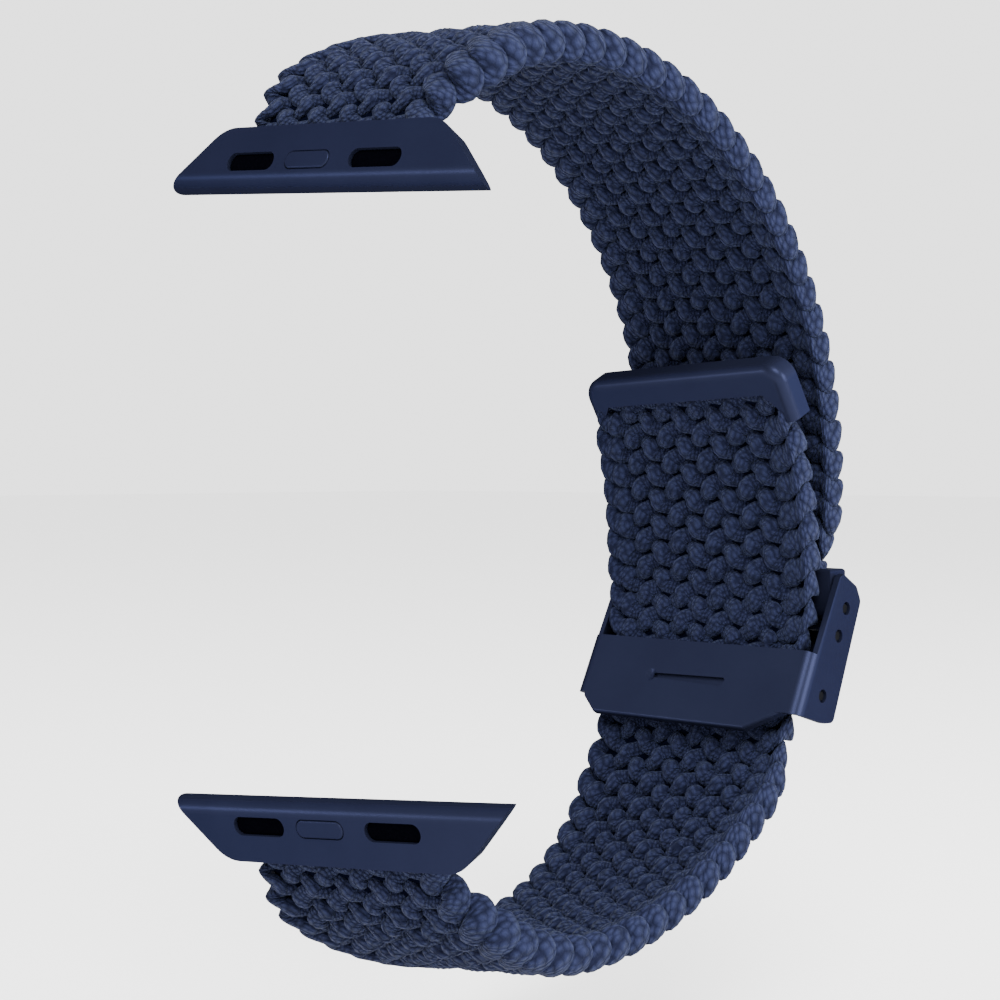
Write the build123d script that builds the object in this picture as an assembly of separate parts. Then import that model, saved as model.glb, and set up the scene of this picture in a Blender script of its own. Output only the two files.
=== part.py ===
from build123d import *
import os
from math import atan2, cos, degrees, pi, radians, sin, tan

# Braided fitness band with two slide-in lugs and a flip-lever buckle.
# Frame: X is the strap's width, +Y runs from the tracker side back to the buckle,
# +Z is up. The origin is midway between the lugs, on the tracker's face side. Millimetres.

# ---------------------------------------------------------------- driving sizes
STRAP_W = 24.0          # strap width round the loop
STRAP_T = 3.0           # strap thickness round the loop
TAIL_W = 23.8           # width of the free tail

LUG_LONG = 34.5         # lug length along its free edge
LUG_SHORT = 23.8        # lug length along its strap edge
LUG_RISE = 4.95         # free edge to strap edge
NOSE_T = 2.4            # thickness of the full-round bead along the free edge
LUG_DEPTH = 2.5         # flat face to the cover's seat
END_DRAFT = 10.0        # the sloping ends lean inward toward the back, degrees
COVER_T = 0.6
LUG_SPACING = 45.6      # between the two free edges

STRAP_SEAT_Z = -0.65    # front wall of the strap socket, below the lug's face
SOCKET_Y = 3.45         # the socket opens from here to the strap edge
STRAP_END_T = 1.7       # strap thickness inside the lug
STRAP_END_W = 20.0
STRAP_END_Z = -1.55     # middle of the strap's thickness in the socket
ANCHOR_D = 0.8          # pin that holds the strap end in the lug
ANCHOR_Y = 4.25

POCKET_Y = 2.05         # pads and latch share this line
PAD_X = (-7.6, 6.1)     # along +X, the same way on both lugs
LATCH_X = -1.15
PAD_SIZE = (5.4, 1.5)
PAD_RECESS = 0.25
POCKET_DEPTH = 0.9
LATCH_SIZE = (4.9, 1.5)
LATCH_FLANGE = (5.5, 1.9)
LATCH_TRAVEL = 0.5
FIT = 0.07              # running clearance of the latch button
SCREW_X, SCREW_Y = 11.0, 2.75

BUCKLE_W = 25.3         # over both cheeks
CHEEK_T = 0.6
PLATE_T = 0.8
BUCKLE_TILT = 27.0      # plate leans back from vertical
PLATE_TOP = (0.0, 47.6, -14.1)      # top edge of the plate, wrist face
PLATE_RISE = 6.1        # plate height at its ends
TONGUE_RISE = 7.7       # plate height at the tongue
CHEEK_TOP = 8.2         # cheeks rise this far above the plate's top edge
CHEEK_FRONT = 0.8       # the cheeks' free front edges sit this far behind the plate's face
CHEEK_DEPTH = 5.15      # wrist face of the plate to the back edges of the cheeks
PIN_D = 0.8
PIN_DEPTH = 3.2         # pins' distance behind the plate's wrist face
SWIVEL_V, LATCH_V, HINGE_V = 5.6, 2.9, -2.9   # pin heights from the plate's top edge

TAIL_AXIS = (16.0, -8.5)            # (Y, Z) centre of the arc that the tail slides on
TAIL_R = 34.0                       # middle of the tail's thickness
ARC_START = -26.0                   # the strap joins that arc here, degrees
TAIL_TIP = 34.0
CHANNEL_T = 2.0                     # strap squeezed between plate and lever
CHANNEL_W = 22.0
TIP_T = 1.4                         # tail's tip squeezed in the end clip
TIP_SET, TIP_LAG = 1.9, 1.5         # the tip's -X edge: set back, mm, and shorter, degrees

CONNECTOR_TOP = -7.0                # Z of the mouth that takes the upper strap
CONNECTOR_Y = (51.65, 54.15)
CONNECTOR_W = 23.6
CONNECTOR_SLOT_T = 1.7
RIVET_Z = -8.1

CLIP_W = 24.2           # over the clip's arms
CLIP_T = 2.3            # clip depth, over both of its walls
CLIP_CAP = 1.1          # clip top above the strap's cut end
CLIP_BAR = 1.6          # the bar reaches this far down the tail
CLIP_ARM = 4.4          # and its arms this far

os.makedirs("parts", exist_ok=True)


def save(name, *solids):
    """Write one node. Several solids stay separate bodies in one compound."""
    shape = solids[0] if len(solids) == 1 else Compound(children=list(solids))
    shape.label = name
    export_step(shape, f"parts/{name}.step")


def smooth(t):
    t = min(max(t, 0.0), 1.0)
    return t * t * (3.0 - 2.0 * t)


def mix(a, b, t):
    return a + (b - a) * t


def prism(points, height, plane):
    """A polygon in a plane's own XY, raised along its Z."""
    return extrude(plane * make_face(Polyline(*points, close=True)), height)


def obround(size, z_low, z_high, x=0.0, y=POCKET_Y):
    """A slot-shaped block whose long side lies along X."""
    face = Pos(x, y, z_low) * SlotOverall(size[0], size[1])
    return extrude(face, z_high - z_low)


def rod_x(radius, half, y, z):
    """A round bar along X."""
    return Pos(0, y, z) * Rot(0, 90, 0) * Cylinder(radius, 2 * half)


# ---------------------------------------------------------------- lug positions
# Lug frame: X along the slide, Y from the free edge to the strap, Z out of the face.
def lug_plane(origin, lean, twist, yaw, upper):
    """Lean tips the strap edge back; twist and yaw splay the far end outward."""
    side = 1.0 if upper else -1.0
    x_dir = Vector(side, 0, 0)
    rise = Vector(0, sin(radians(lean)), side * cos(radians(lean)))
    out = x_dir.cross(rise)
    turn = radians(-twist * side)
    x_dir, rise = (x_dir * cos(turn) + rise * sin(turn),
                   rise * cos(turn) - x_dir * sin(turn))
    turn = radians(yaw * side)
    x_dir, out = (x_dir * cos(turn) - out * sin(turn),
                  out * cos(turn) + x_dir * sin(turn))
    return Plane(origin=origin, x_dir=x_dir, z_dir=out)


UPPER_LUG = lug_plane((0, 0, LUG_SPACING / 2), 18.0, 4.9, 2.0, True)
LOWER_LUG = lug_plane((0, 1.5, -LUG_SPACING / 2), 11.0, 4.1, 5.6, False)
BUCKLE = Plane(origin=PLATE_TOP, x_dir=(1, 0, 0),
               z_dir=(0, -cos(radians(BUCKLE_TILT)), sin(radians(BUCKLE_TILT))))


# ---------------------------------------------------------------- lugs
# The lower lug is the upper one turned end for end, with its pads and latch
# on the same side of the band; side is +1 for the upper lug and -1 for the lower.
def lug_body():
    """Trapezoid block with a full-round bead along the free edge and drafted ends."""
    r = NOSE_T / 2
    side = make_face([
        Polyline((LUG_RISE, -LUG_DEPTH), (LUG_RISE, 0), (r, 0)),
        ThreePointArc((r, 0), (0, -r), (r, -NOSE_T)),
        Polyline((r, -NOSE_T), (1.9, -LUG_DEPTH), (LUG_RISE, -LUG_DEPTH)),
    ])
    block = extrude(Plane.YZ * side, LUG_LONG / 2, both=True)
    slope = (LUG_LONG - LUG_SHORT) / 2 / LUG_RISE
    low, high = LUG_LONG / 2 + 4 * slope, LUG_LONG / 2 - 9 * slope
    plan = make_face(Polyline((-low, -4), (low, -4), (high, 9), (-high, 9), close=True))
    plan = extrude(Pos(0, 0, 0.2) * plan, 4, dir=(0, 0, -1), taper=END_DRAFT)
    block &= plan
    corners = [e for e in block.edges()
               if e.center().Y > LUG_RISE - 0.1 and abs(e.center().X) > 10 and e.length < 4]
    return fillet(corners, 3.4)


def lug_shell(side):
    shell = lug_body()
    socket = Pos(0, (SOCKET_Y + 8) / 2, (STRAP_SEAT_Z - 8) / 2) * Box(
        STRAP_END_W + 0.4, 8 - SOCKET_Y, 8 + STRAP_SEAT_Z)
    shell -= socket
    for x in PAD_X:
        shell -= obround(PAD_SIZE, -POCKET_DEPTH, 1, x * side)
    shell -= obround(LATCH_SIZE, -0.6, 1, LATCH_X * side)
    shell -= obround((LATCH_FLANGE[0] + 0.3, LATCH_FLANGE[1] + 0.3), -1.75, -0.6,
                     LATCH_X * side)
    shell -= anchor_pin()
    for x in (-SCREW_X, SCREW_X):
        shell -= Pos(x, SCREW_Y, -LUG_DEPTH) * Cylinder(0.4, 2.4)
    return shell


def lug_cover():
    """Back plate that closes the strap socket, screwed on at both ends."""
    plate = prism([(-12.6, 2.0), (12.6, 2.0), (10.4, LUG_RISE - 0.4),
                   (-10.4, LUG_RISE - 0.4)], -COVER_T, Plane((0, 0, -LUG_DEPTH)))
    plate = fillet(plate.edges().filter_by(Axis.Z), 0.5)
    plate = chamfer(plate.faces().sort_by(Axis.Z)[0].edges(), 0.2)
    for x in (-SCREW_X, SCREW_X):
        plate -= Pos(x, SCREW_Y, -LUG_DEPTH - COVER_T / 2) * Cylinder(0.4, COVER_T)
        plate -= Pos(x, SCREW_Y, -LUG_DEPTH - COVER_T + 0.15) * Cylinder(0.65, 0.3)
    return plate


def lug_pads(side):
    """Soft pads that sit below the face in their pockets."""
    pad = obround((PAD_SIZE[0], PAD_SIZE[1]), -POCKET_DEPTH, -PAD_RECESS)
    pad = fillet(pad.faces().sort_by(Axis.Z)[-1].edges(), 0.2)
    return [Pos(x * side, 0, 0) * pad for x in PAD_X]


def latch_button(side):
    cap = obround((LATCH_SIZE[0] - 2 * FIT, LATCH_SIZE[1] - 2 * FIT), -0.7, 0.1)
    cap = fillet(cap.faces().sort_by(Axis.Z)[-1].edges(), 0.12)
    return Pos(LATCH_X * side, 0, 0) * (cap + obround(LATCH_FLANGE, -0.95, -0.65))


def latch_spring(side):
    """Bowed leaf under the button."""
    top = ThreePointArc((-2.4, -1.63), (0, -0.98), (2.4, -1.63))
    low = ThreePointArc((-2.4, -1.75), (0, -1.1), (2.4, -1.75))
    leaf = make_face([top, low, Line(top @ 0, low @ 0), Line(top @ 1, low @ 1)])
    leaf = extrude(Plane.XZ * leaf, 0.6, both=True)
    return Pos(LATCH_X * side, POCKET_Y, 0) * leaf


def cover_screws():
    """Two countersunk screws, one per end of the cover."""
    screw = (Pos(0, SCREW_Y, -LUG_DEPTH) * Cylinder(0.4, 2.4 - 0.3)
             + Pos(0, SCREW_Y, -LUG_DEPTH - COVER_T + 0.15) * Cylinder(0.6, 0.3))
    screw -= Pos(0, SCREW_Y, -LUG_DEPTH - COVER_T) * Box(0.9, 0.2, 0.3)
    return [Pos(x, 0, 0) * screw for x in (-SCREW_X, SCREW_X)]


def anchor_pin():
    return rod_x(ANCHOR_D / 2, 11.3, ANCHOR_Y, STRAP_END_Z)


def write_lug(prefix, plane, side):
    place = plane.location
    save(f"{prefix}_lug_shell", place * lug_shell(side))
    save(f"{prefix}_lug_back_cover", place * lug_cover())
    save(f"{prefix}_lug_pads", *[place * pad for pad in lug_pads(side)])
    save(f"{prefix}_latch_button", place * latch_button(side))
    save(f"{prefix}_latch_spring", place * latch_spring(side))
    save(f"{prefix}_cover_screws", *[place * screw for screw in cover_screws()])
    save(f"{prefix}_anchor_pin", place * anchor_pin())


# ---------------------------------------------------------------- strap paths
# The strap's middle surface spans two edge curves in YZ, at X = +12 and X = -12.
# The -X edge runs round a larger loop, so the band is slightly conical.
def lug_start(plane, side_x, handle):
    """Where an edge leaves its lug, and its first handle."""
    lean = (LUG_RISE, LUG_RISE + handle)
    x = side_x if plane is UPPER_LUG else -side_x
    points = [plane.from_local_coords(Vector(x, y, STRAP_END_Z)) for y in lean]
    return [(p.Y, p.Z) for p in points]


def upper_edges():
    half = STRAP_W / 2
    near = [lug_start(UPPER_LUG, half, 4.6) + [(10.6, 34.6), (20.0, 34.6)],
            [(20.0, 34.6), (38.4, 34.6), (53.4, 18.9), (53.4, 1.0)],
            [(53.4, 1.0), (53.4, -1.9), (52.9, -4.2), (52.9, CONNECTOR_TOP)]]
    far = [lug_start(UPPER_LUG, -half, 4.0) + [(14.0, 37.8), (23.5, 38.0)],
           [(23.5, 38.0), (41.8, 38.0), (56.0, 18.5), (54.4, 3.0)],
           [(54.4, 3.0), (54.0, -0.8), (52.9, -3.4), (52.9, CONNECTOR_TOP)]]
    return near, far


def lower_edges():
    half = STRAP_W / 2
    entry = arc_point(ARC_START)
    near = [lug_start(LOWER_LUG, half, 4.5) + [(12.0, -35.4), (20.0, -35.4)],
            [(20.0, -35.4), (33.0, -35.2), (43.3, -27.2), entry]]
    far = [lug_start(LOWER_LUG, -half, 3.8) + [(13.5, -38.2), (22.5, -39.9)],
           [(22.5, -39.9), (36.5, -42.4), (47.2, -32.0), entry]]
    return near, far


def bezier(points, t):
    weights = ((1 - t) ** 3, 3 * t * (1 - t) ** 2, 3 * t * t * (1 - t), t ** 3)
    return tuple(sum(w * p[i] for w, p in zip(weights, points)) for i in (0, 1))


def arc_point(angle, radius=TAIL_R):
    return (TAIL_AXIS[0] + radius * cos(radians(angle)),
            TAIL_AXIS[1] + radius * sin(radians(angle)))


def section(centre, width_dir, ahead, width, thickness):
    """Rounded cross-section of the strap, square to its run."""
    ahead = ahead - width_dir * ahead.dot(width_dir)
    plane = Plane(origin=centre, x_dir=width_dir, z_dir=ahead)
    return plane * RectangleRounded(width, thickness, thickness * 0.42)


def swept(stations):
    """Loft the strap through (near, far, width, thickness) stations."""
    centres = [(near + far) * 0.5 for near, far, _, _ in stations]
    faces = []
    for i, (near, far, width, thickness) in enumerate(stations):
        ahead = centres[min(i + 1, len(centres) - 1)] - centres[max(i - 1, 0)]
        faces.append(section(centres[i], (near - far).normalized(), ahead, width, thickness))
    return loft(faces)


def pair(near, far):
    half = STRAP_W / 2
    return Vector(half, *near), Vector(-half, *far)


def lug_stations(plane):
    """The flat end inside the lug's socket."""
    flip = 1 if plane is UPPER_LUG else -1
    return [(plane.from_local_coords(Vector(flip * STRAP_W / 2, y, STRAP_END_Z)),
             plane.from_local_coords(Vector(-flip * STRAP_W / 2, y, STRAP_END_Z)),
             STRAP_END_W, STRAP_END_T) for y in (SOCKET_Y + 0.1, 4.2)]


def loop_stations(near, far, steps, widths):
    """Stations along Bezier spans; the strap swells as it leaves its lug."""
    out = []
    for i, (n, f) in enumerate(zip(near, far)):
        for k in range(0 if i == 0 else 1, steps[i] + 1):
            t = k / steps[i]
            width, thickness = widths(i, t)
            out.append((*pair(bezier(n, t), bezier(f, t)), width, thickness))
    return out


def upper_strap():
    def widths(i, t):
        if i == 0:
            return leaving_lug(t)
        if i == 2:
            shrink = smooth((t - 0.4) / 0.6)
            return mix(STRAP_W, 22.0, shrink), mix(STRAP_T, CONNECTOR_SLOT_T, shrink)
        return STRAP_W, STRAP_T
    near, far = upper_edges()
    stations = lug_stations(UPPER_LUG) + loop_stations(near, far, (6, 8, 5), widths)
    middle = sum(CONNECTOR_Y) / 2
    for z in (-8.0, -8.9):
        stations.append((*pair((middle, z), (middle, z)), 22.0, CONNECTOR_SLOT_T))
    strap = swept(stations)
    strap -= UPPER_LUG.location * anchor_pin()
    for rivet in connector_rivets():
        strap -= rivet
    return strap


def lower_strap():
    def widths(i, t):
        if i == 0:
            return leaving_lug(t)
        shrink = smooth((t - 0.8) / 0.19)
        return mix(STRAP_W, CHANNEL_W, shrink), mix(STRAP_T, CHANNEL_T, shrink)
    near, far = lower_edges()
    stations = lug_stations(LOWER_LUG) + loop_stations(near, far, (6, 10), widths)
    strap = swept(stations + tail_stations(ARC_START + 2.0))
    return strap - LOWER_LUG.location * anchor_pin()


def leaving_lug(t):
    """The strap swells to full size as it leaves its lug."""
    grow = smooth((t - 0.04) / 0.46)
    return mix(STRAP_END_W, STRAP_W, grow), mix(STRAP_END_T, STRAP_T, grow)


def tail_edges(angle):
    """Both edges at one angle; toward its tip the tail turns away on the -X side."""
    bend = max((angle - 4.0) / (TAIL_TIP - 4.0), 0.0) ** 1.3
    y, z = arc_point(angle - TIP_LAG * bend)
    return arc_point(angle), (y + TIP_SET * bend, z)


def tail_size(angle):
    """Squeezed where it can pass the buckle, full above it, squeezed again in the clip."""
    width = mix(CHANNEL_W, TAIL_W, smooth((angle + 8.5) / 6.0))
    thickness = mix(CHANNEL_T, STRAP_T, smooth((angle + 1.5) / 5.0))
    pinch = smooth((angle - TAIL_TIP + 10.0) / 7.0)
    return mix(width, 23.0, pinch), mix(thickness, TIP_T, pinch)


def tail_stations(start, step=2.0):
    """Stations on the arc that slides through the buckle, then along the tail."""
    out = []
    for k in range(int((TAIL_TIP - start) / step + 1.5)):
        angle = min(start + k * step, TAIL_TIP)
        out.append((*pair(*tail_edges(angle)), *tail_size(angle)))
    return out


# ---------------------------------------------------------------- buckle
def buckle_frame():
    """Bent channel: plate on the wrist side, a cheek down each edge, three pin holes."""
    half = BUCKLE_W / 2
    outline = [(0.25 - PLATE_RISE, 0), (0.1, 0), (0.1, CHEEK_FRONT),
               (CHEEK_TOP - 0.5, CHEEK_FRONT + 0.2), (CHEEK_TOP, CHEEK_FRONT + 0.6),
               (CHEEK_TOP - 0.1, 3.9), (CHEEK_TOP - 1.0, CHEEK_DEPTH),
               (-4.4, CHEEK_DEPTH + 0.75), (-5.0, CHEEK_DEPTH - 0.6)]
    cheeks = make_face(Polyline(*[(v, -d) for v, d in outline], close=True))
    cheeks = Plane.YZ * fillet([p for p in cheeks.vertices() if p.Y < -3.8], 0.7)
    solid = extrude(cheeks, half, both=True)
    channel = Pos(0, 0, -PLATE_T - 20) * Box(BUCKLE_W - 2 * CHEEK_T, 60, 40)
    window = Pos(0, 30.1, 0) * Box(BUCKLE_W - 2 * CHEEK_T, 60, 60)
    solid = solid - channel - window
    bends = solid.edges().filter_by(Axis.Y).filter_by(
        lambda e: abs(abs(e.center().X) - half) < 0.01 and abs(e.center().Z) < 0.01)
    solid = fillet(bends, 1.2)
    tongue = prism([(1.3 - half, 0.6 - PLATE_RISE), (half - 1.3, 0.6 - PLATE_RISE),
                    (half - 2.6, -PLATE_RISE - 0.2), (half - 5.2, -TONGUE_RISE),
                    (2.9 - half, -TONGUE_RISE), (1.3 - half, -PLATE_RISE - 0.2)],
                   -PLATE_T, Plane.XY)
    solid += tongue
    rims = [e for e in solid.edges() if abs(e.center().Z) < 0.01 and e.center().Y < -6.2]
    solid = fillet(rims, 0.25)
    solid -= slit_groove()
    for v in (SWIVEL_V, LATCH_V, HINGE_V):
        solid -= rod_x(PIN_D / 2, 20, v, -PIN_DEPTH)
        for x in (-half, half):
            solid -= Pos(x, v, -PIN_DEPTH) * Rot(0, 90, 0) * Cylinder(PIN_D / 2 + 0.2, 0.8)
    return BUCKLE.location * solid


def slit_groove():
    """Shallow wedge-shaped slit in the plate, with a dimple at its narrow end."""
    slit = prism([(-3.9, -3.3), (4.0, -3.15), (4.2, -3.35), (3.9, -4.0), (-3.9, -3.75)],
                 1, Plane((0, 0, -0.4)))
    return slit + Pos(-4.2, -3.5, 1.15) * Sphere(1.3)


def cross_pin(v, radius=PIN_D / 2):
    return BUCKLE.location * rod_x(radius, BUCKLE_W / 2 - 0.15, v, -PIN_DEPTH)


def hinge_stubs():
    """Short axles, one per cheek, that carry the lever's ears."""
    stub = rod_x(PIN_D / 2, 0.7, HINGE_V, -PIN_DEPTH)
    offset = BUCKLE_W / 2 - 0.15 - 0.7
    return [BUCKLE.location * (Pos(x, 0, 0) * stub) for x in (-offset, offset)]


def locking_lever():
    """Flip lever: cross plate, two hinge ears, gripping ridges and snap saddles."""
    inner, outer = 3.9, 5.0
    half = BUCKLE_W / 2 - CHEEK_T - 0.1
    plate = [(-1.2, -inner), (3.9, -inner), (4.4, -inner - 0.6), (5.2, -inner - 0.95),
             (5.2, -outer - 0.4), (4.0, -outer), (-0.9, -outer), (-1.5, -outer + 0.5)]
    lever = extrude(Plane.YZ * make_face(Polyline(*plate, close=True)), half, both=True)
    lever = fillet(lever.edges().filter_by(Axis.X).sort_by(Axis.Z)[:2], 0.25)
    ear = [(HINGE_V - 1.0, -PIN_DEPTH + 0.8), (HINGE_V + 1.0, -PIN_DEPTH + 0.8),
           (0.5, -inner), (0.5, -outer + 0.2), (-1.4, -outer + 0.2), (HINGE_V - 1.0, -PIN_DEPTH - 0.9)]
    ears = extrude(Plane.YZ * make_face(Polyline(*ear, close=True)), half, both=True)
    ears = fillet(ears.edges().filter_by(Axis.X).group_by(Axis.Y)[0], 0.7)
    ears -= Box(CHANNEL_W + 0.3, 40, 40)
    lever += ears
    lever -= rod_x(PIN_D / 2 + 0.03, 20, HINGE_V, -PIN_DEPTH)
    for x in (-7.0, 7.0):
        saddle = Pos(x, LATCH_V, -inner + 0.3) * Box(2.2, PIN_D + 1.0, 1.2)
        saddle -= Pos(x, LATCH_V, -PIN_DEPTH + 0.5) * Box(4, PIN_D + 0.2, 1.1)
        lever += saddle - rod_x(PIN_D / 2 + 0.1, 20, LATCH_V, -PIN_DEPTH)
    for v in (-1.0, -0.3, 0.4):
        lever += prism([(v - 0.25, -inner), (v + 0.25, -inner), (v, -inner + 0.22)],
                       CHANNEL_W / 2 - 1, Plane.YZ.offset(-(CHANNEL_W / 2 - 1) / 2))
    return BUCKLE.location * lever


def swivel_centre():
    return BUCKLE.from_local_coords(Vector(0, SWIVEL_V, -PIN_DEPTH))


def connector_rivets():
    length = CONNECTOR_Y[1] - CONNECTOR_Y[0]
    rivet = Pos(0, sum(CONNECTOR_Y) / 2, RIVET_Z) * Rot(90, 0, 0) * Cylinder(0.5, length + 0.1)
    return [Pos(x, 0, 0) * rivet for x in (-7.5, 0, 7.5)]


def strap_connector():
    """Clamp on the upper strap's end, with a barrel for the swivel pin."""
    barrel = swivel_centre()
    low, high = CONNECTOR_Y
    body = Pos(0, (low + high) / 2, (CONNECTOR_TOP + barrel.Z) / 2) * Box(
        CONNECTOR_W, high - low, CONNECTOR_TOP - barrel.Z)
    body = fillet(body.faces().sort_by(Axis.Z)[-1].edges(), 0.3)
    body += rod_x((high - low) / 2, CONNECTOR_W / 2, (low + high) / 2, barrel.Z)
    body -= Pos(0, (low + high) / 2, -5.0) * Box(22.1, CONNECTOR_SLOT_T + 0.05, 7.9)
    body -= rod_x(PIN_D / 2 + 0.03, 20, barrel.Y, barrel.Z)
    for rivet in connector_rivets():
        body -= rivet
    return body


# ---------------------------------------------------------------- end clip
def end_clip():
    """Cap on the tail's tip: a bar across it, with short arms down both edges."""
    near, far = pair(*tail_edges(TAIL_TIP))
    before = sum(pair(*tail_edges(TAIL_TIP - 2.0)), Vector()) * 0.5
    across = (near - far).normalized()
    tip = (near + far) * 0.5
    ahead = tip - before
    ahead = (ahead - across * ahead.dot(across)).normalized()
    plane = Plane(origin=tip, x_dir=across, z_dir=across.cross(ahead))
    half = CLIP_W / 2
    side = [(half, CLIP_CAP), (half, -CLIP_ARM), (half - 0.9, -CLIP_ARM),
            (half - 1.5, -CLIP_BAR - 1.3), (half - 2.6, -CLIP_BAR)]
    outline = side + [(-x, y) for x, y in reversed(side)]
    clip = extrude(make_face(Polyline(*outline, close=True)), CLIP_T / 2, both=True)
    clip = fillet(clip.edges().filter_by(Axis.Z).group_by(Axis.Y)[-1], 1.9)
    front = clip.faces().filter_by(Axis.Z).sort_by(Axis.Z)[-1]
    top = [e for e in front.edges() if e.center().Y > -CLIP_BAR + 0.5]
    clip = fillet(top, 0.9)
    return plane.location * clip - swept(tail_stations(TAIL_TIP - 14.0))


save_order = [("upper_strap", upper_strap), ("lower_strap", lower_strap),
              ("buckle_frame", buckle_frame), ("locking_lever", locking_lever),
              ("strap_connector", strap_connector), ("end_clip", end_clip)]
for name, make in save_order:
    save(name, make())
write_lug("upper", UPPER_LUG, 1)
write_lug("lower", LOWER_LUG, -1)
save("connector_rivets", *connector_rivets())
save("swivel_pin", cross_pin(SWIVEL_V))
save("latch_pin", cross_pin(LATCH_V))
save("hinge_stubs", *hinge_stubs())
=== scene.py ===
from math import ceil, cos, pi, radians, sin

import bpy
import numpy as np
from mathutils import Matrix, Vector


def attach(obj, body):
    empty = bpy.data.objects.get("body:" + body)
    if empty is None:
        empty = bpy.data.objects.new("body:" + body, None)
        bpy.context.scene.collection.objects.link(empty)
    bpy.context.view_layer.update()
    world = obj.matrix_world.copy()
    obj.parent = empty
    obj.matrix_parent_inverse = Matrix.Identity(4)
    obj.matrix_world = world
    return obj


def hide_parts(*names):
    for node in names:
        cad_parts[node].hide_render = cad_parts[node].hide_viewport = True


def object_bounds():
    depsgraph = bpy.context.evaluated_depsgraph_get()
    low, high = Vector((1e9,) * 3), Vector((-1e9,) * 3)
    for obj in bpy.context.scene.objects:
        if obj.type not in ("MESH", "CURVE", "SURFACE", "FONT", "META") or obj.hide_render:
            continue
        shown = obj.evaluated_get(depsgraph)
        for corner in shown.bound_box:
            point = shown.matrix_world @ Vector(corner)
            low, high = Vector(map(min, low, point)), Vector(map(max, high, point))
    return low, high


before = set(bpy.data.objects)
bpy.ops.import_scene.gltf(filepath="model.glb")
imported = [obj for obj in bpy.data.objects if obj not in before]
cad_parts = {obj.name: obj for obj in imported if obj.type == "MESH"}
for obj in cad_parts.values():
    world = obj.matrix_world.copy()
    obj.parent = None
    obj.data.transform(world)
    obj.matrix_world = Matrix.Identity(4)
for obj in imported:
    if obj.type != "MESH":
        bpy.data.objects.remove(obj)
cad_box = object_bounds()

# A braided wrist band. The metal and rubber parts are the CAD nodes with materials of their
# own. The straps are braided here, strand by strand, on the same curves as the CAD straps.
MM = 0.001

# ------------------------------------------------------------------ driving sizes, mm
STRAP_W, STRAP_T = 24.0, 3.0        # strap round the loop
SOCKET_W, SOCKET_T = 20.0, 1.7      # strap end inside a lug
CLAMP_W, CLAMP_T = 22.0, 1.7        # upper strap's end inside its clamp
CHANNEL_W, CHANNEL_T = 22.0, 2.0    # strap squeezed in the buckle
TAIL_W = 23.8                       # tail above the buckle
TIP_W, TIP_T = 23.0, 1.4            # tail's tip squeezed in the end clip

LUG_RISE = 4.95                     # free edge to strap edge
STRAP_END_Z = -1.55                 # strap's middle below the lug's face
SOCKET_RISES = (3.6, 4.2)           # first two rows of a strap, above the lug's free edge
CLAMP_Y = 52.9                      # middle of the upper strap's clamp
CLAMP_TOP, CLAMP_END = -7.0, -8.8   # Z of the clamp's mouth and of the strap's end in it

# The tail follows an arc in YZ. Its places are in degrees on that arc.
TAIL_AXIS = (16.0, -8.5)            # (Y, Z) centre
TAIL_R = 34.0
ARC_START, TAIL_TIP = -26.0, 34.0
WIDEN_AT, THICKEN_AT = -11.0, -1.5  # past the buckle the tail grows to its full size
GROW_OVER = 5.0
PINCH_BEFORE, PINCH_OVER = 10.0, 7.0    # the squeeze into the end clip, ahead of the tip
BEND_START, BEND_POWER = 4.0, 1.3   # where the tail starts to turn away, and how that grows
TIP_SET, TIP_LAG = 1.9, 1.5         # the tip's -X edge: set back, mm, and shorter, degrees
TIP_INSET = 0.4                     # the braid stops this short of the tip

UPPER_STEPS = (30, 40, 14)          # rows out of the lug, round the loop, into the clamp
LOWER_STEPS = (30, 32, 59)          # rows out of the lug, round the loop, along the tail

# Braid: one-over, one-under, with an odd number of strands. A crossing is one column.
STRANDS = 11
PITCH = 2.6                         # length of braid that holds two crossings of a strand
STRAND_HALF = 0.96                  # strand half width in the strap's plane
STRAND_DEPTH = 0.80                 # strand half thickness
WAIST = 0.86                        # share of its width halfway between over and under
LEAN_IN = 0.85                      # how much a strand straightens where it crosses
LIFT = 1.08                         # height of a float; at 1 it is flush with the strap's face
EDGE_MARGIN = 0.2                   # strap width left beside the braid
TURN_INSET, TURN_HOOK = 0.6, 0.2    # columns from the edge to a turning strand, and back out
ROLL_REACH, ROLL = 1.35, 0.85       # the section turns round the edge: from where, how much
EDGE_BULK = 0.95                    # added half width of a strand that rounds the edge
SQUEEZE = 1.25                      # edge loops flatten where the strap is thinner than
                                    # 1 / SQUEEZE of its full thickness
STRAND_SHIFT = 37.3                 # shift of the stitch pattern from strand to strand

CORE_ROWS = 160
CORE_INSET = 1.7                    # core's edge inside the strap's edge
CORE_HALF = 0.09                    # core's half thickness, as a share of the strap's

# ------------------------------------------------------------------ studio sizes, metres
FLOOR_DROP = 0.009                  # below the band, so the buckle can swing down
FLOOR_HALF = 3.0
LIGHT_AIM = (0.0, 0.025, 0.0)
LIGHTS = (                          # name, place, size, watts
    ("key", (0.30, -0.25, 0.40), 0.30, 6.6),
    ("side", (0.50, 0.10, 0.15), 0.30, 6.6),
    ("rim", (0.45, 0.47, 0.06), 0.30, 1.7),
    ("front", (-0.55, -0.60, 0.10), 0.18, 3.0),
)


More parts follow.
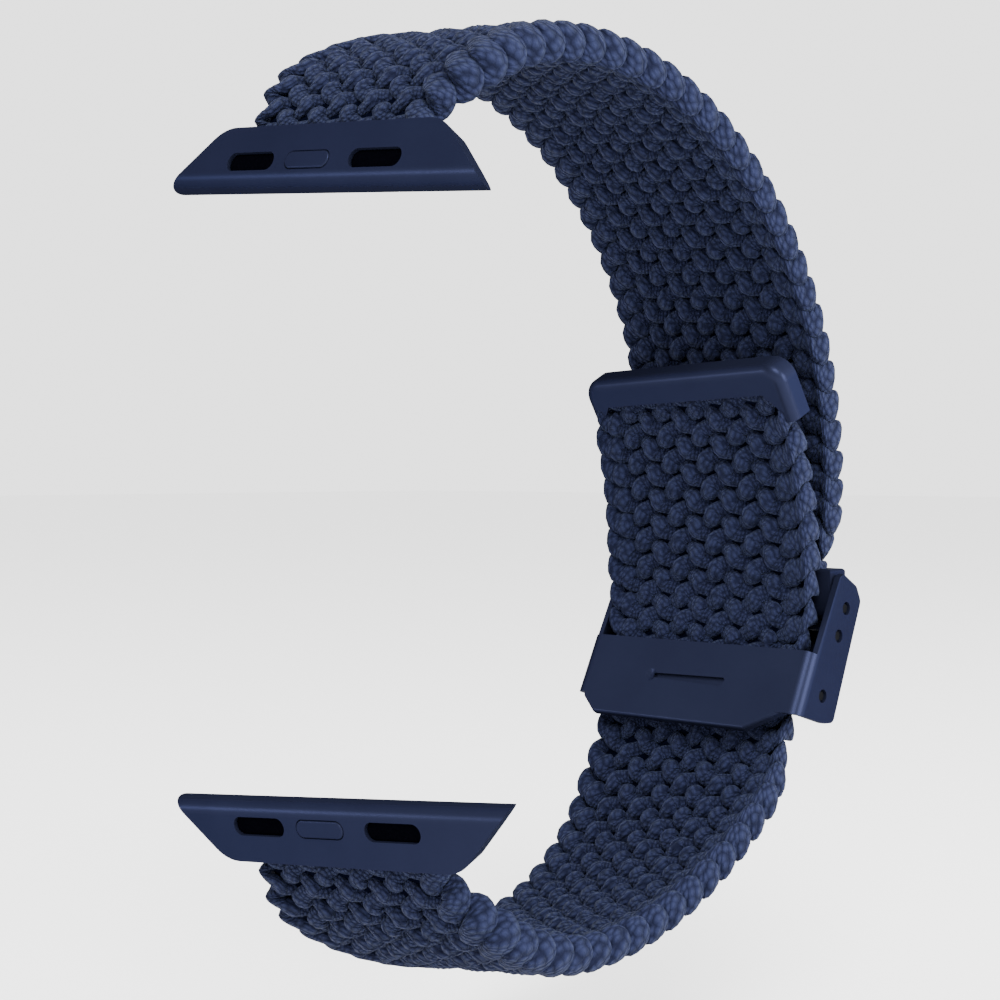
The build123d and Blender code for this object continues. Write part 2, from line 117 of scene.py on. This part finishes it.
# ------------------------------------------------------------------ lug frames
def lug_frame(origin, lean, twist, yaw, upper):
    """Slide, rise and outward directions of a lug, as in the CAD model."""
    side = 1.0 if upper else -1.0
    slide = np.array([side, 0.0, 0.0])
    rise = np.array([0.0, sin(radians(lean)), side * cos(radians(lean))])
    out = np.cross(slide, rise)
    turn = radians(-twist * side)
    slide, rise = slide * cos(turn) + rise * sin(turn), rise * cos(turn) - slide * sin(turn)
    turn = radians(yaw * side)
    slide, out = slide * cos(turn) - out * sin(turn), out * cos(turn) + slide * sin(turn)
    return {"origin": np.array(origin), "slide": slide, "rise": rise, "out": out, "side": side}


UPPER_LUG = lug_frame((0, 0, 22.8), lean=18.0, twist=4.9, yaw=2.0, upper=True)
LOWER_LUG = lug_frame((0, 1.5, -22.8), lean=11.0, twist=4.1, yaw=5.6, upper=False)


def lug_point(lug, x, y, z):
    return lug["origin"] + lug["slide"] * x * lug["side"] + lug["rise"] * y + lug["out"] * z


# ------------------------------------------------------------------ strap paths
# Each strap spans two edge curves in YZ, at X = +12 and X = -12 mm. They are runs of Bezier
# curves whose control points are (Y, Z). A row is a point on each edge, then the strap's
# width and thickness there.
def smooth(t):
    t = min(max(t, 0.0), 1.0)
    return t * t * (3.0 - 2.0 * t)


def mix(a, b, t):
    return a + (b - a) * t


def bezier(points, t):
    weights = ((1 - t) ** 3, 3 * t * (1 - t) ** 2, 3 * t * t * (1 - t), t ** 3)
    return sum(w * np.array(p) for w, p in zip(weights, points))


def arc_point(angle):
    return (TAIL_AXIS[0] + TAIL_R * cos(radians(angle)),
            TAIL_AXIS[1] + TAIL_R * sin(radians(angle)))


def lug_start(lug, x, handle):
    """First two control points of an edge, where it leaves the lug."""
    return [lug_point(lug, x, y, STRAP_END_Z)[1:] for y in (LUG_RISE, LUG_RISE + handle)]


def pair(near, far, width, thickness):
    half = STRAP_W / 2
    return np.array([half, *near]), np.array([-half, *far]), width, thickness


def socket_rows(lug):
    return [(lug_point(lug, STRAP_W / 2, y, STRAP_END_Z),
             lug_point(lug, -STRAP_W / 2, y, STRAP_END_Z), SOCKET_W, SOCKET_T)
            for y in SOCKET_RISES]


def span_rows(near, far, steps, size):
    return [pair(bezier(near, k / steps), bezier(far, k / steps), *size(k / steps))
            for k in range(steps + 1)]


def size_change(before, after, start, span):
    """Width and thickness along a stretch that changes from start, over span of its run."""
    def size(t):
        share = smooth((t - start) / span)
        return mix(before[0], after[0], share), mix(before[1], after[1], share)
    return size


FULL_SIZE = (STRAP_W, STRAP_T)
leaving_lug = size_change((SOCKET_W, SOCKET_T), FULL_SIZE, start=0.04, span=0.46)
round_loop = size_change(FULL_SIZE, FULL_SIZE, start=0.0, span=1.0)
into_clamp = size_change(FULL_SIZE, (CLAMP_W, CLAMP_T), start=0.4, span=0.6)
into_buckle = size_change(FULL_SIZE, (CHANNEL_W, CHANNEL_T), start=0.8, span=0.19)


def upper_path():
    half = STRAP_W / 2
    near_start, far_start = lug_start(UPPER_LUG, half, 4.6), lug_start(UPPER_LUG, -half, 4.0)
    clamp = (CLAMP_Y, CLAMP_TOP)
    out_steps, loop_steps, clamp_steps = UPPER_STEPS
    rows = socket_rows(UPPER_LUG)
    rows += span_rows(near_start + [(10.6, 34.6), (20.0, 34.6)],
                      far_start + [(14.0, 37.8), (23.5, 38.0)], out_steps, leaving_lug)
    rows += span_rows([(20.0, 34.6), (38.4, 34.6), (53.4, 18.9), (53.4, 1.0)],
                      [(23.5, 38.0), (41.8, 38.0), (56.0, 18.5), (54.4, 3.0)],
                      loop_steps, round_loop)[1:]
    rows += span_rows([(53.4, 1.0), (53.4, -1.9), (52.9, -4.2), clamp],
                      [(54.4, 3.0), (54.0, -0.8), (52.9, -3.4), clamp],
                      clamp_steps, into_clamp)[1:]
    rows.append(pair((CLAMP_Y, CLAMP_END), (CLAMP_Y, CLAMP_END), CLAMP_W, CLAMP_T))
    return rows


def tail_edges(angle):
    """Both edges at one angle; toward its tip the tail turns away on the -X side."""
    bend = max((angle - BEND_START) / (TAIL_TIP - BEND_START), 0.0) ** BEND_POWER
    y, z = arc_point(angle - TIP_LAG * bend)
    return arc_point(angle), (y + TIP_SET * bend, z)


def tail_size(angle):
    """Squeezed where it can pass the buckle, full above it, squeezed again in the clip."""
    width = mix(CHANNEL_W, TAIL_W, smooth((angle - WIDEN_AT) / GROW_OVER))
    thickness = mix(CHANNEL_T, STRAP_T, smooth((angle - THICKEN_AT) / GROW_OVER))
    pinch = smooth((angle - TAIL_TIP + PINCH_BEFORE) / PINCH_OVER)
    return mix(width, TIP_W, pinch), mix(thickness, TIP_T, pinch)


def lower_path():
    half = STRAP_W / 2
    near_start, far_start = lug_start(LOWER_LUG, half, 4.5), lug_start(LOWER_LUG, -half, 3.8)
    entry = arc_point(ARC_START)
    out_steps, loop_steps, tail_steps = LOWER_STEPS
    rows = socket_rows(LOWER_LUG)
    rows += span_rows(near_start + [(12.0, -35.4), (20.0, -35.4)],
                      far_start + [(13.5, -38.2), (22.5, -39.9)], out_steps, leaving_lug)
    rows += span_rows([(20.0, -35.4), (33.0, -35.2), (43.3, -27.2), entry],
                      [(22.5, -39.9), (36.5, -42.4), (47.2, -32.0), entry],
                      loop_steps, into_buckle)[1:]
    for k in range(1, tail_steps + 1):
        angle = mix(ARC_START, TAIL_TIP - TIP_INSET, k / tail_steps)
        rows.append(pair(*tail_edges(angle), *tail_size(angle)))
    return rows


def run_along(points):
    """Length from the first point to each point."""
    return np.concatenate(
        [[0.0], np.cumsum(np.linalg.norm(np.diff(points, axis=0), axis=1))])


class Ribbon:
    """A strap's middle surface, read by length along it and distance across."""

    def __init__(self, rows, out_sign):
        near = np.array([r[0] for r in rows])
        far = np.array([r[1] for r in rows])
        self.centre = (near + far) / 2
        across = near - far
        self.across = across / np.linalg.norm(across, axis=1)[:, None]
        self.length = run_along(self.centre)
        ahead = np.gradient(self.centre, self.length, axis=0)
        ahead -= self.across * (ahead * self.across).sum(1)[:, None]
        ahead /= np.linalg.norm(ahead, axis=1)[:, None]
        self.normal = np.cross(self.across, ahead) * out_sign
        self.size = np.array([(r[2], r[3]) for r in rows])

    def read(self, s, table):
        return np.stack([np.interp(s, self.length, table[:, i])
                         for i in range(table.shape[1])], axis=1)

    def at(self, s):
        size = self.read(s, self.size)
        return (self.read(s, self.centre), self.read(s, self.across),
                self.read(s, self.normal), size[:, 0], size[:, 1])


# ------------------------------------------------------------------ braid
def braid_offsets(phase):
    """Place across (columns, 0 to STRANDS) and height (-1 to 1) of a strand.

    One unit of phase is one crossing. A strand runs right over odd columns, passes round
    the edge from below to above, and runs left over even columns.
    """
    cycle = 2 * STRANDS
    c = np.mod(phase, cycle)
    back = np.minimum(c, cycle - c)                      # 0 at the far edge, STRANDS at near
    edge = np.minimum(back, STRANDS - back)              # crossings to the nearest edge
    inner = np.clip(edge * 1.5 - 0.6, 0, 1)              # 0 at an edge, 1 past one crossing
    swing = LEAN_IN * np.sin(2 * pi * back) / (2 * pi) * inner
    inset = np.sqrt(edge ** 2 + TURN_INSET ** 2) - TURN_HOOK * np.exp(-1.2 * edge)
    across = np.where(back < STRANDS / 2, inset, STRANDS - inset) - swing
    turn_near = (c > STRANDS - 1) & (c < STRANDS + 1)
    turn_far = (c > cycle - 1) | (c < 1.0)
    from_far = np.where(c < 1.0, c + cycle, c) - (cycle - 1.0)
    height = np.cos(pi * (c - (c < STRANDS)))
    height = np.where(turn_near, -np.cos(pi * (c - (STRANDS - 1.0)) / 2), height)
    height = np.where(turn_far, -np.cos(pi * from_far / 2), height)
    return across, height


def tube(points, wide_dir, thick_dir, half_wide, half_thick, around):
    """Side of a tube with an elliptical section: vertices, faces, and length at each ring."""
    a = np.arange(around) * 2 * pi / around
    ring = (np.cos(a)[None, :, None] * wide_dir[:, None, :] * half_wide[:, None, None]
            + np.sin(a)[None, :, None] * thick_dir[:, None, :] * half_thick[:, None, None])
    verts = (points[:, None, :] + ring).reshape(-1, 3)
    i = np.arange(len(points) - 1)[:, None] * around
    j = np.arange(around)[None, :]
    k = (j + 1) % around
    faces = np.stack([i + j, i + k, i + around + k, i + around + j], axis=2).reshape(-1, 4)
    return verts, faces, run_along(points)


def strand(ribbon, index, steps_per_crossing, around):
    total = ribbon.length[-1]
    unit = PITCH / 2                                     # strap length per crossing
    count = int(ceil(total / unit * steps_per_crossing))
    s = np.linspace(0.0, total, count + 1)
    phase = s / unit + index * 2.0                       # strands follow two crossings apart
    column, height = braid_offsets(phase)
    centre, across, normal, width, thickness = ribbon.at(s)
    half_thick = STRAND_DEPTH * thickness / STRAP_T
    lift = height * (thickness / 2 - half_thick) * LIFT
    spread = (column / STRANDS - 0.5) * (width - EDGE_MARGIN)
    points = centre + across * spread[:, None] + normal * lift[:, None]
    ahead = np.gradient(points, axis=0)
    ahead /= np.linalg.norm(ahead, axis=1)[:, None]
    edge = np.minimum(column, STRANDS - column)
    roll = np.clip(ROLL_REACH - edge, 0, 1) * ROLL
    outward = np.where(column > STRANDS / 2, 1.0, -1.0)
    flat = normal * (1 - roll)[:, None] + across * (outward * roll)[:, None]
    wide_dir = np.cross(flat, ahead)
    wide_dir /= np.linalg.norm(wide_dir, axis=1)[:, None]
    thick_dir = np.cross(ahead, wide_dir)
    waist = mix(WAIST, 1.0, height ** 2)
    squeeze = np.minimum(SQUEEZE * thickness / STRAP_T, 1)
    half_wide = STRAND_HALF * mix(waist, squeeze, roll) + EDGE_BULK * roll * squeeze
    return tube(points, wide_dir, thick_dir, half_wide * (width / STRAP_W), half_thick, around)


def end_caps(strands, around):
    """One flat face on each end of every strand."""
    caps, first = [], 0
    for _, run, _ in strands:
        last = first + (len(run) - 1) * around
        caps.append(list(range(first + around - 1, first - 1, -1)))
        caps.append(list(range(last, last + around)))
        first = last + around
    return caps


def lay_strand_uv(mesh, strands, around):
    """U runs along each strand in mm, V once round it; each strand starts elsewhere."""
    uv = mesh.uv_layers.new(name="strand")
    data = np.zeros((len(mesh.loops), 2), np.float32)
    at = 0
    for _, run, index in strands:
        rings = len(run) - 1
        i = np.repeat(np.arange(rings), around)
        j = np.tile(np.arange(around), rings)
        u0, u1 = run[i] + index * STRAND_SHIFT, run[i + 1] + index * STRAND_SHIFT
        v0, v1 = j / around, (j + 1) / around
        block = np.stack([np.stack([u0, v0], 1), np.stack([u0, v1], 1),
                          np.stack([u1, v1], 1), np.stack([u1, v0], 1)], 1).reshape(-1, 2)
        data[at:at + len(block)] = block
        at += len(block)
    uv.data.foreach_set("uv", data.ravel())


def add_piece(name, mesh, material, body, node):
    mesh.materials.append(material)
    mesh.update()
    piece = bpy.data.objects.new(name, mesh)
    bpy.context.scene.collection.objects.link(piece)
    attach(piece, body)
    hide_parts(node)


def braided_strap(name, ribbon, body, node, material):
    """The strands of one strap, in two pieces of every other strand."""
    steps, around = ((8, 12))
    for part, members in (("a", range(0, STRANDS, 2)), ("b", range(1, STRANDS, 2))):
        verts, strands, base = [], [], 0
        for index in members:
            v, faces, run = strand(ribbon, index, steps, around)
            verts.append(v)
            strands.append((faces + base, run, index))
            base += len(v)
        verts = np.concatenate(verts) * MM
        quads = np.concatenate([faces for faces, _, _ in strands])
        mesh = bpy.data.meshes.new(f"{name}_{part}")
        mesh.from_pydata(verts.tolist(), [], quads.tolist() + end_caps(strands, around))
        lay_strand_uv(mesh, strands, around)
        mesh.polygons.foreach_set("use_smooth", [True] * len(mesh.polygons))
        add_piece(f"{name}_{part}", mesh, material, body, node)


def elastic_core(name, ribbon, body, node, material):
    """Flat elastic sheet that the strands are braided round."""
    s = np.linspace(0.0, ribbon.length[-1], CORE_ROWS)
    centre, across, normal, width, thickness = ribbon.at(s)
    half_w, half_t = (width / 2 - CORE_INSET)[:, None], (thickness * CORE_HALF)[:, None]
    corners = [centre + across * half_w * a + normal * half_t * b
               for a, b in ((1, 1), (-1, 1), (-1, -1), (1, -1))]
    verts = np.stack(corners, axis=1).reshape(-1, 3) * MM
    faces = [(4 * i + k, 4 * i + (k + 1) % 4, 4 * i + 4 + (k + 1) % 4, 4 * i + 4 + k)
             for i in range(CORE_ROWS - 1) for k in range(4)]
    faces += [(3, 2, 1, 0), tuple(range(len(verts) - 4, len(verts)))]
    mesh = bpy.data.meshes.new(name)
    mesh.from_pydata(verts.tolist(), [], faces)
    add_piece(name, mesh, material, body, node)


# ------------------------------------------------------------------ materials
def new_material(name):
    material = bpy.data.materials.new(name)
    material.use_nodes = True
    tree = material.node_tree
    return material, tree, tree.nodes["Principled BSDF"]


def add(tree, kind, **values):
    """New node; a value goes to the input of that name, or else to the node's setting."""
    node = tree.nodes.new(kind)
    for key, value in values.items():
        if key in node.inputs:
            node.inputs[key].default_value = value
        else:
            setattr(node, key, value)
    return node


def set_inputs(node, values):
    for name, value in values.items():
        node.inputs[name].default_value = value


def object_noise(tree, scale, detail):
    """Noise that is fixed to the object."""
    noise = add(tree, "ShaderNodeTexNoise", Scale=scale, Detail=detail)
    position = add(tree, "ShaderNodeTexCoord")
    tree.links.new(position.outputs["Object"], noise.inputs["Vector"])
    return noise.outputs["Fac"]


def multiply_add(tree, value, factor, offset):
    """value * factor + offset; the offset is a number or another node's output."""
    node = add(tree, "ShaderNodeMath", operation="MULTIPLY_ADD")
    tree.links.new(value, node.inputs[0])
    node.inputs[1].default_value = factor
    if isinstance(offset, bpy.types.NodeSocket):
        tree.links.new(offset, node.inputs[2])
    else:
        node.inputs[2].default_value = offset
    return node.outputs[0]


def paint(tree, shader, value, dark, light, low=0.3, high=0.7):
    """Base colour from dark to light as the value goes from low to high."""
    ramp = tree.nodes.new("ShaderNodeValToRGB")
    stops = ((low, dark), (high, light))
    for element, (place, colour) in zip(ramp.color_ramp.elements, stops):
        element.position = place
        element.color = (*colour, 1.0)
    tree.links.new(value, ramp.inputs["Fac"])
    tree.links.new(ramp.outputs["Color"], shader.inputs["Base Color"])


def raise_surface(tree, shader, height, strength, distance):
    bump = add(tree, "ShaderNodeBump", Strength=strength, Distance=distance)
    tree.links.new(height, bump.inputs["Height"])
    tree.links.new(bump.outputs["Normal"], shader.inputs["Normal"])


def navy_yarn():
    """Knitted cord: small stitches that lie across each strand, fuzz, mottled navy, with
    painted shade in the gaps between the stitches.
    """
    material, tree, shader = new_material("navy_yarn")
    uv = add(tree, "ShaderNodeUVMap", uv_map="strand")
    place = add(tree, "ShaderNodeMapping", Scale=(1.5, 5.4, 1.0))
    tree.links.new(uv.outputs["UV"], place.inputs["Vector"])
    stitches = add(tree, "ShaderNodeTexVoronoi", voronoi_dimensions="2D", Scale=2.1,
                   Randomness=0.65)
    tree.links.new(place.outputs[0], stitches.inputs["Vector"])
    domes = multiply_add(tree, stitches.outputs["Distance"], -2.0, 1.0)
    relief = multiply_add(tree, object_noise(tree, 5200.0, 3.0), 0.5, domes)
    raise_surface(tree, shader, relief, 1.0, 0.00015)
    # Base colour follows the stitch relief, so the stitch crowns are lighter and the gaps
    # between them darker. That is painted shade; the noise in it is real mottling.
    paint(tree, shader, multiply_add(tree, relief, 1.1, -0.05),
          (0.0030, 0.0039, 0.0120), (0.0092, 0.0115, 0.0300), low=0.0, high=1.0)
    set_inputs(shader, {"Roughness": 0.85, "Sheen Weight": 0.035, "Sheen Roughness": 0.5,
                        "Sheen Tint": (0.45, 0.55, 0.9, 1.0), "Specular IOR Level": 0.04})
    return material


def elastic_rubber():
    """Nearly black rubber with a dull grain."""
    material, tree, shader = new_material("elastic_core")
    paint(tree, shader, object_noise(tree, 3000.0, 2.0),
          (0.0006, 0.0008, 0.0025), (0.0012, 0.0016, 0.0050))
    set_inputs(shader, {"Roughness": 0.9, "Specular IOR Level": 0.0})
    return material


def navy_coat():
    """Satin navy coat on metal: fine grain in the gloss, slight colour drift."""
    material, tree, shader = new_material("navy_coat")
    paint(tree, shader, object_noise(tree, 140.0, 3.0),
          (0.0079, 0.0092, 0.0200), (0.0090, 0.0105, 0.0226))
    grain = object_noise(tree, 9000.0, 2.0)
    gloss = add(tree, "ShaderNodeMapRange")
    set_inputs(gloss, {"To Min": 0.26, "To Max": 0.40})
    tree.links.new(grain, gloss.inputs["Value"])
    tree.links.new(gloss.outputs[0], shader.inputs["Roughness"])
    raise_surface(tree, shader, grain, 0.12, 0.00003)
    set_inputs(shader, {"Metallic": 0.5, "Specular IOR Level": 0.0,
                        "Specular Tint": (0.06, 0.07, 0.10, 1.0)})
    return material


def black_silicone():
    """Matt black with a faint grain."""
    material, tree, shader = new_material("black_silicone")
    grain = object_noise(tree, 6000.0, 2.0)
    paint(tree, shader, grain, (0.0003, 0.0003, 0.0007), (0.0006, 0.0006, 0.0013))
    raise_surface(tree, shader, grain, 0.2, 0.00003)
    set_inputs(shader, {"Roughness": 0.6, "Specular IOR Level": 0.0})
    return material


def blackened_steel():
    """Smooth steel, blackened unevenly."""
    material, tree, shader = new_material("blackened_steel")
    paint(tree, shader, object_noise(tree, 4000.0, 2.0),
          (0.0004, 0.0005, 0.0010), (0.0009, 0.0011, 0.0020))
    set_inputs(shader, {"Roughness": 0.32, "Specular IOR Level": 0.01})
    return material


# ------------------------------------------------------------------ studio
def camera():
    """Main view: about 43 degrees round from the front, level with the band."""
    azimuth, elevation, distance = radians(42.69), radians(0.99), 147.1
    target = Vector((0.0, 20.6, -0.5))
    back = Vector((sin(azimuth) * cos(elevation), -cos(azimuth) * cos(elevation),
                   sin(elevation)))
    data = bpy.data.cameras.new("camera")
    data.lens, data.sensor_width = 64.8, 36.0
    data.clip_start, data.clip_end = 0.005, 20.0
    eye = bpy.data.objects.new("camera", data)
    eye.location = (target + back * distance) * MM
    eye.rotation_euler = (-back).to_track_quat("-Z", "Y").to_euler()
    bpy.context.scene.collection.objects.link(eye)
    bpy.context.scene.camera = eye


def area_light(name, place, size, power):
    data = bpy.data.lights.new(name, "AREA")
    data.shape, data.size, data.energy = "DISK", size, power
    lamp = bpy.data.objects.new(name, data)
    lamp.location = place
    aim = Vector(LIGHT_AIM) - Vector(place)
    lamp.rotation_euler = aim.to_track_quat("-Z", "Y").to_euler()
    bpy.context.scene.collection.objects.link(lamp)


def pale_floor(z):
    mesh = bpy.data.meshes.new("floor")
    corners = [(x * FLOOR_HALF, y * FLOOR_HALF, z)
               for x, y in ((-1, -1), (1, -1), (1, 1), (-1, 1))]
    mesh.from_pydata(corners, [], [(0, 1, 2, 3)])
    material, _, shader = new_material("pale_floor")
    set_inputs(shader, {"Base Color": (0.92, 0.92, 0.92, 1.0), "Roughness": 0.9})
    mesh.materials.append(material)
    floor = bpy.data.objects.new("floor", mesh)
    bpy.context.scene.collection.objects.link(floor)


def studio(floor_z):
    pale_floor(floor_z)
    world = bpy.data.worlds.new("studio")
    world.use_nodes = True
    set_inputs(world.node_tree.nodes["Background"],
               {"Color": (1.0, 1.0, 1.0, 1.0), "Strength": 2.5})
    bpy.context.scene.world = world
    for name, place, size, power in LIGHTS:
        area_light(name, place, size, power)


# ------------------------------------------------------------------ assembly
camera()
studio(cad_box[0][2] - FLOOR_DROP)
yarn, core = navy_yarn(), elastic_rubber()
for name, path, out_sign in (("upper", upper_path(), 1.0), ("lower", lower_path(), -1.0)):
    ribbon = Ribbon(path, out_sign)
    braided_strap(f"{name}_braid", ribbon, f"{name}_band", f"{name}_strap", yarn)
    elastic_core(f"{name}_core", ribbon, f"{name}_band", f"{name}_strap", core)

coat, pads, steel = navy_coat(), black_silicone(), blackened_steel()
for name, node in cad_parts.items():
    if name.endswith("_strap"):
        continue
    if name.endswith("_pads"):
        material = pads
    elif name.endswith(("_pin", "_spring", "_screws", "_rivets", "_stubs")):
        material = steel
    else:
        material = coat
    node.data.materials.clear()
    node.data.materials.append(material)
